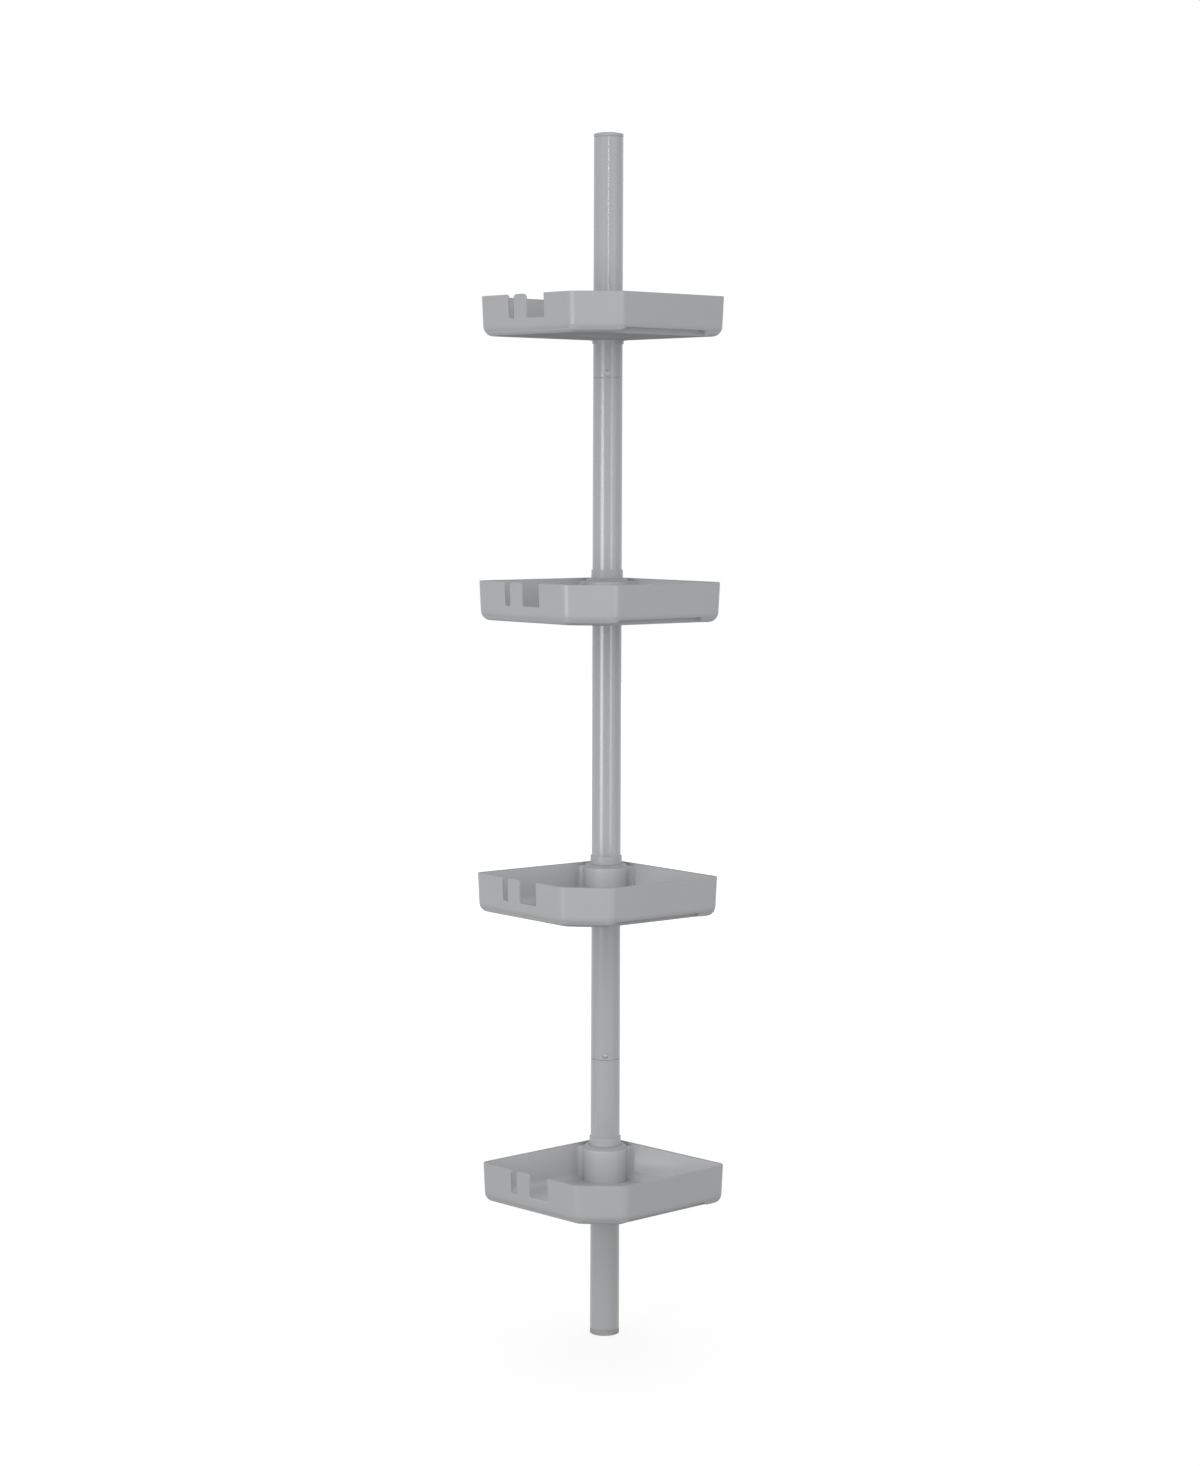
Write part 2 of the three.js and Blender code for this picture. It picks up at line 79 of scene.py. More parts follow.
def placeCamera(place):
    data = bpy.data.cameras.new("photoCamera")
    data.lens = place["lens"]
    data.shift_x, data.shift_y = place["shift"]
    camera = link(bpy.data.objects.new("photoCamera", data))
    spot = levelWay(place["azimuth"]) * place["distance"] + Vector((0, 0, place["height"]))
    azimuth = Matrix.Rotation(math.radians(place["azimuth"]), 4, "Z")
    tilt = Matrix.Rotation(math.radians(90 - place["lookDown"]), 4, "X")
    roll = Matrix.Rotation(math.radians(place["roll"]), 4, "Z")
    camera.matrix_world = Matrix.Translation(spot * mm) @ azimuth @ tilt @ roll
    bpy.context.scene.camera = camera


placeCamera(cameraPlace)
print("camera placed")

# Finishes: two tones of the colour with their scale and stretch, the roughness from and to, the (scale,
# strength) of waves and grain, and the dust on what faces up. Patterns read Object coordinates, so their
# scales are per metre.
finishes = {
    "trayPlastic": {
        "tones": ((0.356, 0.361, 0.371), (0.366, 0.371, 0.381)),
        "toneScale": 14,
        "stretch": (1, 1, 1),
        "roughness": (0.33, 0.39),
        "wave": (45, 0.05),
        "grain": (2600, 0.012),
        "specular": 0.5,
        "metallic": 0,
        "dust": 0.06,
    },
    # Painted light: the inside faces are painted paler than the outer walls, to stand in for light in the
    # hollows
    "trayInsidePaintedLight": {
        "tones": ((0.430, 0.436, 0.448), (0.443, 0.449, 0.462)),
        "toneScale": 14,
        "stretch": (1, 1, 1),
        "roughness": (0.34, 0.42),
        "wave": (45, 0.05),
        "grain": (2600, 0.012),
        "specular": 0.5,
        "metallic": 0,
        "dust": 0.06,
    },
    # Painted shade: the rim and the hub's shoulder are painted darker than the walls, so these upward faces
    # show less light
    "trayEdgePaintedShade": {
        "tones": ((0.292, 0.296, 0.304), (0.306, 0.310, 0.318)),
        "toneScale": 30,
        "stretch": (1, 1, 1),
        "roughness": (0.44, 0.54),
        "wave": (45, 0.03),
        "grain": (2600, 0.02),
        "specular": 0.25,
        "metallic": 0,
        "dust": 0,
    },
    # Painted light: the underside is painted paler than the outer walls, to stand in for light from below;
    # also matte
    "trayUndersideMattePaintedLight": {
        "tones": ((0.412, 0.418, 0.428), (0.430, 0.436, 0.447)),
        "toneScale": 20,
        "stretch": (1, 1, 1),
        "roughness": (0.78, 0.92),
        "wave": (60, 0.05),
        "grain": (1400, 0.10),
        "specular": 0.2,
        "metallic": 0,
        "dust": 0,
    },
    "collarPlastic": {
        "tones": ((0.355, 0.359, 0.367), (0.375, 0.380, 0.388)),
        "toneScale": 30,
        "stretch": (1, 1, 1),
        "roughness": (0.36, 0.46),
        "wave": (90, 0.04),
        "grain": (3200, 0.02),
        "specular": 0.5,
        "metallic": 0,
        "dust": 0,
    },
    "fittingPlastic": {
        "tones": ((0.340, 0.345, 0.352), (0.372, 0.377, 0.385)),
        "toneScale": 40,
        "stretch": (1, 1, 0.4),
        "roughness": (0.42, 0.55),
        "wave": (120, 0.04),
        "grain": (2800, 0.03),
        "specular": 0.5,
        "metallic": 0,
        "dust": 0,
    },
    "tubePaint": {
        "tones": ((0.356, 0.361, 0.370), (0.374, 0.379, 0.388)),
        "toneScale": 22,
        "stretch": (1, 1, 0.12),
        "roughness": (0.16, 0.21),
        "wave": (260, 0.012),
        "grain": (1500, 0.02),
        "specular": 0.55,
        "metallic": 0,
        "dust": 0,
    },
    "padRubber": {
        "tones": ((0.300, 0.304, 0.310), (0.345, 0.350, 0.356)),
        "toneScale": 160,
        "stretch": (1, 1, 1),
        "roughness": (0.68, 0.85),
        "wave": (300, 0.05),
        "grain": (2200, 0.10),
        "specular": 0.35,
        "metallic": 0,
        "dust": 0,
    },
    "studSteel": {
        "tones": ((0.34, 0.345, 0.352), (0.42, 0.426, 0.434)),
        "toneScale": 300,
        "stretch": (1, 1, 1),
        "roughness": (0.42, 0.55),
        "wave": (500, 0.02),
        "grain": (4200, 0.02),
        "specular": 0.5,
        "metallic": 0.3,
        "dust": 0,
    },
    "springSteel": {
        "tones": ((0.50, 0.51, 0.52), (0.62, 0.63, 0.64)),
        "toneScale": 90,
        "stretch": (1, 1, 0.1),
        "roughness": (0.24, 0.38),
        "wave": (500, 0.02),
        "grain": (4200, 0.02),
        "specular": 0.5,
        "metallic": 1,
        "dust": 0,
    },
}
# What all the finishes share
patterns = {
    "spread": (0.3, 0.7),  # the part of a noise's range that is used
    "toneDetail": 4,
    "polishScale": 2.7,  # times the scale of the tones
    "polishDetail": 5,
    "waveDetail": 2,
    "waveDepth": 0.4,
    "grainDetail": 1,
    "grainDepth": 0.1,
    "dustColour": (0.55, 0.55, 0.54, 1),
    "dustScale": 60,
    "dustDetail": 6,
    "dustFrom": 0.8,  # how squarely a face looks up before dust lies on it
}


def addNode(tree, kind, **settings):
    node = tree.nodes.new(kind)
    for key, value in settings.items():
        setattr(node, key, value)
    return node


def addNoise(tree, place, scale, detail):
    noise = addNode(tree, "ShaderNodeTexNoise")
    noise.inputs["Scale"].default_value = scale
    noise.inputs["Detail"].default_value = detail
    tree.links.new(place, noise.inputs["Vector"])
    return noise.outputs["Fac"]


def addRange(tree, value, low, high, newLow, newHigh):
    span = addNode(tree, "ShaderNodeMapRange")
    for label, number in zip(("From Min", "From Max", "To Min", "To Max"), (low, high, newLow, newHigh)):
        span.inputs[label].default_value = number
    tree.links.new(value, span.inputs["Value"])
    return span.outputs["Result"]


def addMath(tree, operation, first, second):
    node = addNode(tree, "ShaderNodeMath", operation=operation)
    tree.links.new(first, node.inputs[0])
    tree.links.new(second, node.inputs[1])
    return node.outputs["Value"]


def addTone(tree, share, low, high):
    mix = addNode(tree, "ShaderNodeMix", data_type="RGBA")
    mix.inputs["A"].default_value = low
    mix.inputs["B"].default_value = high
    tree.links.new(share, mix.inputs["Factor"])
    return mix


def addBump(tree, height, strength, depth, under=None):
    bump = addNode(tree, "ShaderNodeBump")
    bump.inputs["Strength"].default_value = strength
    bump.inputs["Distance"].default_value = depth * mm
    tree.links.new(height, bump.inputs["Height"])
    if under:
        tree.links.new(under, bump.inputs["Normal"])
    return bump.outputs["Normal"]


# Dust pales and dulls what faces up
def addDust(tree, place, most, tone, roughness):
    normal = addNode(tree, "ShaderNodeNewGeometry").outputs["Normal"]
    split = addNode(tree, "ShaderNodeSeparateXYZ")
    tree.links.new(normal, split.inputs["Vector"])
    level = addRange(tree, split.outputs["Z"], patterns["dustFrom"], 1, 0, most)
    specks = addNoise(tree, place, patterns["dustScale"], patterns["dustDetail"])
    dust = addMath(tree, "MULTIPLY", level, specks)
    dusty = addTone(tree, dust, patterns["dustColour"], patterns["dustColour"])
    tree.links.new(tone, dusty.inputs["A"])
    return dusty.outputs["Result"], addMath(tree, "ADD", roughness, dust)


def makeFinish(name, look):
    material = bpy.data.materials.new(name)
    material.use_nodes = True
    tree = material.node_tree
    shader = tree.nodes["Principled BSDF"]
    shader.inputs["Metallic"].default_value = look["metallic"]
    shader.inputs["Specular IOR Level"].default_value = look["specular"]
    coordinates = addNode(tree, "ShaderNodeTexCoord")
    mapping = addNode(tree, "ShaderNodeMapping")
    mapping.inputs["Scale"].default_value = look["stretch"]
    tree.links.new(coordinates.outputs["Object"], mapping.inputs["Vector"])
    place = mapping.outputs["Vector"]

    patches = addNoise(tree, place, look["toneScale"], patterns["toneDetail"])
    share = addRange(tree, patches, *patterns["spread"], 0, 1)
    tone = addTone(tree, share, *[(*colour, 1) for colour in look["tones"]]).outputs["Result"]
    polish = addNoise(tree, place, look["toneScale"] * patterns["polishScale"], patterns["polishDetail"])
    roughness = addRange(tree, polish, *patterns["spread"], *look["roughness"])
    if look["dust"]:
        tone, roughness = addDust(tree, place, look["dust"], tone, roughness)
    tree.links.new(tone, shader.inputs["Base Color"])
    tree.links.new(roughness, shader.inputs["Roughness"])

    waveScale, waveStrength = look["wave"]
    grainScale, grainStrength = look["grain"]
    waves = addNoise(tree, place, waveScale, patterns["waveDetail"])
    grain = addNoise(tree, place, grainScale, patterns["grainDetail"])
    wavy = addBump(tree, waves, waveStrength, patterns["waveDepth"])
    grained = addBump(tree, grain, grainStrength, patterns["grainDepth"], wavy)
    tree.links.new(grained, shader.inputs["Normal"])
    return material


finish = {name: makeFinish(name, look) for name, look in finishes.items()}
print("finishes made:", len(finish))


# A path of (u, v) points with rounded corners. Each corner is (u, v, radius, steps); radius 0 stays sharp.
def roundedPath(corners):
    points = []
    for k, (u, v, radius, steps) in enumerate(corners):
        corner = Vector((u, v))
        if not radius:
            points.append(corner)
            continue
        back = (Vector(corners[k - 1][:2]) - corner).normalized()
        ahead = (Vector(corners[(k + 1) % len(corners)][:2]) - corner).normalized()
        half = back.angle(ahead) / 2
        centre = corner + (back + ahead).normalized() * radius / math.sin(half)
        spoke = corner + back * radius / math.tan(half) - centre
        sweep = math.pi - 2 * half if back.cross(ahead) < 0 else 2 * half - math.pi
        for step in range(steps + 1):
            points.append(centre + Matrix.Rotation(sweep * step / steps, 2) @ spoke)
    return points


# A mesh object from points in millimetres, its doubles merged and its faces turned outwards
def solid(name, points, faces, material=None):
    mesh = bpy.data.meshes.new(name)
    mesh.from_pydata([Vector(point) * mm for point in points], [], faces)
    body = bmesh.new()
    body.from_mesh(mesh)
    bmesh.ops.remove_doubles(body, verts=body.verts, dist=0.0005 * mm)
    bmesh.ops.recalc_face_normals(body, faces=body.faces)
    body.to_mesh(mesh)
    body.free()
    mesh.materials.append(material)
    return link(bpy.data.objects.new(name, mesh))


# A closed profile of (radius, height) points turned about the pole's axis, all round or part of the way
def turned(name, profile, material=None, sides=96, start=0, sweep=360):
    whole = sweep == 360
    spokes = sides if whole else sides + 1
    count = len(profile)
    points = []
    for k in range(spokes):
        angle = math.radians(start + sweep * k / sides)
        points += [(r * math.cos(angle), r * math.sin(angle), z) for r, z in profile]
    faces = []
    for k in range(sides):
        here, there = k * count, (k + 1) % spokes * count
        for j in range(count):
            after = (j + 1) % count
            if profile[j][0] or profile[after][0]:
                faces.append([here + j, there + j, there + after, here + after])
    if not whole:
        faces += [list(range(count)), list(range(sides * count, spokes * count))]
    return solid(name, points, faces, material)


# Faces between neighbouring rings of points, and one over each end; skipped holds (ring, point) pairs
def ringFaces(rings, count, skipped=()):
    faces = [list(range(count)), list(range((rings - 1) * count, rings * count))]
    for k in range(rings - 1):
        for j in range(count):
            here, there = k * count + j, k * count + (j + 1) % count
            if (k, j) not in skipped:
                faces.append([here, there, there + count, here + count])
    return faces


# Rings of points, alike in count, joined from the first to the last
def lofted(name, rings, material=None):
    points = [point for ring in rings for point in ring]
    return solid(name, points, ringFaces(len(rings), len(rings[0])), material)


# What an object's modifiers make becomes its plain mesh
def settle(obj):
    bpy.context.view_layer.update()
    seen = obj.evaluated_get(bpy.context.evaluated_depsgraph_get())
    obj.data = bpy.data.meshes.new_from_object(seen)
    obj.modifiers.clear()
    return obj


def soften(obj, width, segments=2, angle=40):
    bevel = obj.modifiers.new("edges", "BEVEL")
    bevel.width = width * mm
    bevel.segments = segments
    bevel.limit_method = "ANGLE"
    bevel.angle_limit = math.radians(angle)
    return settle(obj)


def combine(obj, operation, *tools):
    for tool in tools:
        step = obj.modifiers.new("cut", "BOOLEAN")
        step.operation = operation
        step.solver = "EXACT"
        step.object = tool
        settle(obj)
        bpy.data.objects.remove(tool)
    return obj


# Smooth faces, with a crisp line wherever they meet at an angle
def shade(obj, angle=35):
    obj.data.shade_smooth()
    obj.data.set_sharp_from_angle(angle=math.radians(angle))
    weights = obj.modifiers.new("weights", "WEIGHTED_NORMAL")
    weights.keep_sharp = True
    return settle(obj)


def copyOf(obj, name, move):
    mesh = obj.data.copy()
    mesh.transform(move)
    return link(bpy.data.objects.new(name, mesh))


bodyOf = {node: body for body, nodes in frame["record"]["behaviour"]["bodies"].items() for node in nodes}


# A finished piece stands for a CAD node, which is hidden, and rides on the node's body
def stand(obj, node):
    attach(obj, bodyOf[node])
    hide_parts(node)


# A Geometry Nodes tree with named inputs, given as {name: (socket type, default)}
def startTree(name, inputs):
    tree = bpy.data.node_groups.new(name, "GeometryNodeTree")
    for label, (kind, default) in inputs.items():
        socket = tree.interface.new_socket(name=label, in_out="INPUT", socket_type=kind)
        if default is not None:
            socket.default_value = default
    tree.interface.new_socket(name="Mesh", in_out="OUTPUT", socket_type="NodeSocketGeometry")
    return tree, tree.nodes.new("NodeGroupInput").outputs


# The last steps of every tree: instances made real, then the material
def endTree(tree, mesh, material):
    real = tree.nodes.new("GeometryNodeRealizeInstances")
    painted = tree.nodes.new("GeometryNodeSetMaterial")
    out = tree.nodes.new("NodeGroupOutput")
    tree.links.new(mesh, real.inputs["Geometry"])
    tree.links.new(real.outputs["Geometry"], painted.inputs["Geometry"])
    tree.links.new(material, painted.inputs["Material"])
    tree.links.new(painted.outputs["Geometry"], out.inputs["Mesh"])


def runTree(obj, tree, values):
    grown = obj.modifiers.new(tree.name, "NODES")
    grown.node_group = tree
    sockets = {item.name: item.identifier for item in tree.interface.items_tree if item.in_out == "INPUT"}
    for label, value in values.items():
        grown[sockets[label]] = value
    return settle(obj)


def emptyPiece(name):
    return link(bpy.data.objects.new(name, bpy.data.meshes.new(name)))


# A tube: the section of its wall, with rounded corners, swept round a circle in the middle of the wall
def makeTubeTree():
    tree, given = startTree("roundTube", {
        "Middle Radius": ("NodeSocketFloat", 0.0136),
        "Wall": ("NodeSocketFloat", 0.0008),
        "Length": ("NodeSocketFloat", 0.25),
        "Edge": ("NodeSocketFloat", 0.0002),
        "Sides": ("NodeSocketInt", 96),
        "Middle": ("NodeSocketVector", (0, 0, 0)),
        "Material": ("NodeSocketMaterial", None),
    })
    circle = tree.nodes.new("GeometryNodeCurvePrimitiveCircle")
    section = tree.nodes.new("GeometryNodeCurvePrimitiveQuadrilateral")
    corners = addNode(tree, "GeometryNodeFilletCurve", mode="POLY")
    corners.inputs["Count"].default_value = 4
    sweep = tree.nodes.new("GeometryNodeCurveToMesh")
    lift = tree.nodes.new("GeometryNodeTransform")
    tree.links.new(given["Sides"], circle.inputs["Resolution"])
    tree.links.new(given["Middle Radius"], circle.inputs["Radius"])
    tree.links.new(given["Wall"], section.inputs["Width"])
    tree.links.new(given["Length"], section.inputs["Height"])
    tree.links.new(section.outputs["Curve"], corners.inputs["Curve"])
    tree.links.new(given["Edge"], corners.inputs["Radius"])
    tree.links.new(circle.outputs["Curve"], sweep.inputs["Curve"])
    tree.links.new(corners.outputs["Curve"], sweep.inputs["Profile Curve"])
    tree.links.new(sweep.outputs["Mesh"], lift.inputs["Geometry"])
    tree.links.new(given["Middle"], lift.inputs["Translation"])
    endTree(tree, lift.outputs["Geometry"], given["Material"])
    return tree


# A round bar lying out along a spoke of the pole
def spokeBar(name, profile, height, spoke, material=None, sides=48):
    bar = turned(name, profile, material, sides)
    lay = Matrix.Rotation(math.radians(spoke), 4, "Z") @ Matrix.Rotation(math.radians(90), 4, "Y")
    bar.data.transform(Matrix.Translation((0, 0, height * mm)) @ lay)
    return bar


def plainBar(radius, start, end):
    return [(0, start), (radius, start), (radius, end), (0, end)]


# A round hole along a spoke
def drill(obj, hole, height, spoke):
    bar = plainBar(hole["radius"], hole["from"], hole["to"])
    combine(obj, "DIFFERENCE", spokeBar("hole", bar, height, spoke))


def middleHeight(node):
    low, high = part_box(node)
    return (low.z + high.z) / 2 / mm


# A tube's walls beside its holes stay round: there the normals point straight out from the axis, or in
def roundWalls(obj):
    mesh = obj.data
    normals = [corner.vector.copy() for corner in mesh.corner_normals]
    for face in mesh.polygons:
        for k in face.loop_indices:
            spot = mesh.vertices[mesh.loops[k].vertex_index].co
            out = Vector((spot.x, spot.y, 0)).normalized()
            facing = face.normal.dot(out)
            onWall = abs(face.normal.z) < 0.02 and abs(facing) > 0.995  # not an end, nor the side of a hole
            if onWall:
                normals[k] = out if facing > 0 else -out
    mesh.normals_split_custom_set(normals)


# Tubes. The middle and the top one have a hole for a snap button, and the extension has one for the stop pin.
tubes = {
    "bottomTube": {"node": "bottom_tube", "radius": 14, "wall": 0.8, "edge": 0.1},
    "middleTube": {"node": "middle_tube", "radius": 14, "wall": 0.8, "edge": 0.1},
    "topTube": {"node": "top_tube", "radius": 14, "wall": 0.8, "edge": 0.1},
    "extensionTube": {"node": "extension_tube", "radius": 9.5, "wall": 0.8, "edge": 0.16},
}
buttonSpoke = -42  # degrees from +X
buttonHole = {"radius": 2.55, "above": 4.2, "from": 8, "to": 18}
pinHole = {"radius": 1.62, "from": -12, "to": 12}
roundTube = makeTubeTree()
for name, size in tubes.items():
    low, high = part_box(size["node"])
    tube = runTree(emptyPiece(name), roundTube, {
        "Middle Radius": (size["radius"] - size["wall"] / 2) * mm,
        "Wall": size["wall"] * mm,
        "Length": high.z - low.z,
        "Edge": size["edge"] * mm,
        "Middle": (0, 0, (low.z + high.z) / 2),
        "Material": finish["tubePaint"],
    })
    if name in ("middleTube", "topTube"):
        drill(tube, buttonHole, low.z / mm + buttonHole["above"], buttonSpoke)
    if name == "extensionTube":
        drill(tube, pinHole, middleHeight("stop_pin"), 0)
    shade(tube)
    roundWalls(tube)
    stand(tube, size["node"])
print("tubes made:", len(tubes))

# Snap buttons: a stud with a domed tip
button = {"radius": 2.25, "base": 11.85, "tip": 14.6, "dome": 0.5, "domeSteps": 8, "sides": 32}


def makeButton(name, node, size):
    radius, dome = size["radius"], size["dome"]
    crown = (radius ** 2 + dome ** 2) / (2 * dome)
    profile = [(0, size["base"]), (radius, size["base"])]
    for step in range(size["domeSteps"] + 1):
        r = radius * (1 - step / size["domeSteps"])
        profile.append((r, size["tip"] - crown + math.sqrt(crown ** 2 - r ** 2)))
    stud = spokeBar(name, profile, middleHeight(node), buttonSpoke, finish["studSteel"], size["sides"])
    shade(stud)
    stand(stud, node)


makeButton("lowerButton", "lower_button", button)
makeButton("upperButton", "upper_button", button)
print("snap buttons made")


# A piece turned about the pole's axis, from corners of (radius, height above its base, rounding, steps)
def turnedPiece(name, node, corners, material):
    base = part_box(node)[0].z / mm
    profile = [(point.x, point.y + base) for point in roundedPath(corners)]
    return turned(name, profile, finish[material])


footPad = {"radius": 14, "thickness": 5, "peg": 4, "pegTop": 17, "edge": 0.7}


def makeFootPad(size):
    pad = turnedPiece("footPad", "foot_pad", [
        (0, 0, 0, 0),
        (size["radius"], 0, size["edge"], 6),
        (size["radius"], size["thickness"], size["edge"] / 2, 4),
        (size["peg"], size["thickness"], 0, 0),
        (size["peg"], size["pegTop"], size["edge"], 4),
        (0, size["pegTop"], 0, 0),
    ], "padRubber")
    shade(pad)
    stand(pad, "foot_pad")


mouthBush = {
    "guide": 9.8,
    "sleeve": 13.08,
    "sleeveLength": 34,
    "flange": 14,
    "length": 37,
    "edge": 0.3,
    "flangeEdge": 0.2,
}


def makeMouthBush(size):
    bush = turnedPiece("mouthBush", "mouth_bush", [
        (size["guide"], 0, size["edge"], 4),
        (size["sleeve"], 0, size["edge"], 4),
        (size["sleeve"], size["sleeveLength"], 0, 0),
        (size["flange"], size["sleeveLength"], size["flangeEdge"], 3),
        (size["flange"], size["length"], size["edge"], 6),
        (size["guide"], size["length"], size["edge"], 6),
    ], "fittingPlastic")
    shade(bush)
    stand(bush, "mouth_bush")


ceilingPad = {
    "radius": 9.5,
    "thickness": 7,
    "edge": 0.8,
    "lowerEdge": 0.3,
    "grooves": (6.1, 3.1),  # radii, from the outside in
    "grooveWidth": 0.8,
    "grooveFoot": 0.6,  # of its width
    "grooveDepth": 0.35,
    "grooveEdge": 0.1,
}


def makeCeilingPad(size):
    top = size["thickness"]
    foot = top - size["grooveDepth"]
    half = size["grooveWidth"] / 2
    edge = size["grooveEdge"]
    corners = [
        (0, 0, 0, 0),
        (size["radius"], 0, size["lowerEdge"], 3),
        (size["radius"], top, size["edge"], 6),
    ]
    for groove in size["grooves"]:
        corners += [
            (groove + half, top, edge, 2),
            (groove + half * size["grooveFoot"], foot, edge, 2),
            (groove - half * size["grooveFoot"], foot, edge, 2),
            (groove - half, top, edge, 2),
        ]
    corners.append((0, top, 0, 0))
    pad = turnedPiece("ceilingPad", "ceiling_pad", corners, "padRubber")
    shade(pad)
    stand(pad, "ceiling_pad")


plunger = {
    "stem": 8.4,
    "stemLength": 60,
    "head": 9.5,
    "length": 62,
    "edge": 0.3,
    "slotHalf": 1.8,
    "slotEnds": (23.9, 39.5),
    "slotCorner": 1.2,
    "cutterPast": 2,
}


# The plunger, with a slot right through it for the stop pin
def makePlunger(size):
    stem = turnedPiece("ceilingPlunger", "ceiling_plunger", [
        (0, 0, 0, 0),
        (size["stem"], 0, size["edge"], 4),
        (size["stem"], size["stemLength"], 0, 0),
        (size["head"], size["stemLength"], size["edge"], 4),
        (size["head"], size["length"], size["edge"], 4),
        (0, size["length"], 0, 0),
    ], "fittingPlastic")
    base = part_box("ceiling_plunger")[0].z / mm
    half = size["slotHalf"]
    low, high = [base + end for end in size["slotEnds"]]
    corners = [(-half, low), (half, low), (half, high), (-half, high)]
    outline = roundedPath([(y, z, size["slotCorner"], 5) for y, z in corners])
    reach = size["stem"] + size["cutterPast"]
    combine(stem, "DIFFERENCE", lofted("slot", [[(x, y, z) for y, z in outline] for x in (-reach, reach)]))
    shade(stem)
    stand(stem, "ceiling_plunger")


stopPin = {"radius": 1.5, "half": 9.38, "edge": 0.3, "sides": 32}


def makeStopPin(size):
    profile = roundedPath([
        (0, -size["half"], 0, 0),
        (size["radius"], -size["half"], size["edge"], 3),
        (size["radius"], size["half"], size["edge"], 3),
        (0, size["half"], 0, 0),
    ])
    pin = spokeBar("stopPin", profile, middleHeight("stop_pin"), 0, finish["springSteel"], size["sides"])
    shade(pin)
    stand(pin, "stop_pin")


makeFootPad(footPad)
makeMouthBush(mouthBush)
makeCeilingPad(ceilingPad)
makePlunger(plunger)
makeStopPin(stopPin)
print("pads, bush and sprung tip made")


# The coil: a round wire swept up a helix
def makeCoilTree():
    tree, given = startTree("coilSpring", {
        "Coil Radius": ("NodeSocketFloat", 0.0073),
        "Wire Radius": ("NodeSocketFloat", 0.0008),
        "Height": ("NodeSocketFloat", 0.08),
        "Turns": ("NodeSocketFloat", 12),
        "Steps Per Turn": ("NodeSocketInt", 36),
        "Base": ("NodeSocketVector", (0, 0, 0)),
        "Material": ("NodeSocketMaterial", None),
    })
    helix = tree.nodes.new("GeometryNodeCurveSpiral")
    wire = tree.nodes.new("GeometryNodeCurvePrimitiveCircle")
    wire.inputs["Resolution"].default_value = 14
    sweep = tree.nodes.new("GeometryNodeCurveToMesh")
    sweep.inputs["Fill Caps"].default_value = True
    lift = tree.nodes.new("GeometryNodeTransform")
    tree.links.new(given["Steps Per Turn"], helix.inputs["Resolution"])
    tree.links.new(given["Turns"], helix.inputs["Rotations"])
    tree.links.new(given["Coil Radius"], helix.inputs["Start Radius"])
    tree.links.new(given["Coil Radius"], helix.inputs["End Radius"])
    tree.links.new(given["Height"], helix.inputs["Height"])
    tree.links.new(given["Wire Radius"], wire.inputs["Radius"])
    tree.links.new(helix.outputs["Curve"], sweep.inputs["Curve"])
    tree.links.new(wire.outputs["Curve"], sweep.inputs["Profile Curve"])
    tree.links.new(sweep.outputs["Mesh"], lift.inputs["Geometry"])
    tree.links.new(given["Base"], lift.inputs["Translation"])
    endTree(tree, lift.outputs["Geometry"], given["Material"])
    return tree


coil = {"radius": 7.3, "wire": 0.8, "turns": 12, "kept": 0.85}
low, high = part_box("tension_spring")
spring = runTree(emptyPiece("tensionSpring"), makeCoilTree(), {
    "Coil Radius": coil["radius"] * mm,
    "Wire Radius": coil["wire"] * mm,
    "Height": high.z - low.z - 2 * coil["wire"] * mm,
    "Turns": coil["turns"],
    "Base": (0, 0, low.z + coil["wire"] * mm),
    "Material": finish["springSteel"],
})
shade(spring, 60)
stand(spring, "tension_spring")
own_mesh(spring)
print("spring wound")

# A tray, in its own frame: the pole's axis at the origin, its underside at height 0, the slots facing -Y
tray = {
    "side": 163,
    "height": 37,
    "backReach": 23.2,  # from the pole's axis to the outer faces of the two back walls
    "wall": 2.4,
    "floor": 2.4,
    "draft": 1.8,  # how far the walls lean out between the underside and the rim
    "outerRound": 9,
    "innerRound": 6.6,
    "roundSteps": 8,
    "rim": 0.6,
    "rimSteps": 4,
    "sideCorner": 8,
    "leastCorner": 0.8,
    "cornerSteps": 8,
    "backSteps": 24,
    "chamferLeg": 33,
    "chamferCorner": 12,
}
slots = {
    "left": 10,  # the panel that holds both slots
    "right": 76,
    "sill": 12,
    "foot": 15,
    "footCorner": 0.9,
    "narrow": (19.3, 27.1),
    "wide": (44.1, 69.4),
    "flare": 2.6,  # the rim's rounding left of the narrow slot
    "tab": 4,  # the rounding of the tab between the slots
    "shoulder": 1.5,  # the rim's rounding right of the wide slot
}


def draftAt(height):
    return tray["draft"] * (1 - height / tray["height"])


# A quarter round in steps, as pairs that go from (radius, 0) to (0, radius)
def quarterRound(radius, steps):
    angles = [math.pi / 2 * step / steps for step in range(steps + 1)]
    return [(radius * (1 - math.sin(angle)), radius * (1 - math.cos(angle))) for angle in angles]


# The plan of the tray, drawn in by an inset, with two points on the wall that faces -Y for the slotted panel
def trayPlan(inset, height):
    near = tray["backReach"] - inset
    far = tray["side"] - tray["backReach"] - inset
    leg = tray["chamferLeg"] - inset * (2 - math.sqrt(2))
    corner = max(tray["sideCorner"] - inset, tray["leastCorner"])
    steps = tray["cornerSteps"]
    plan = roundedPath([
        (-near, -far, corner, steps),
        (slots["left"], -far, 0, 0),
        (slots["right"], -far, 0, 0),
        (far - leg, -far, tray["chamferCorner"], steps),
        (far, -far + leg, tray["chamferCorner"], steps),
        (far, near, corner, steps),
        (-near, near, near, tray["backSteps"]),
    ])
    return [(point.x, point.y, height) for point in plan]


# Over the rim, from the outer face to the inner one: (how far below the top, how far in from the outer face)
def rimSteps():
    outside = quarterRound(tray["rim"], tray["rimSteps"])
    return outside + [(drop, tray["wall"] - inwards) for drop, inwards in reversed(outside)]


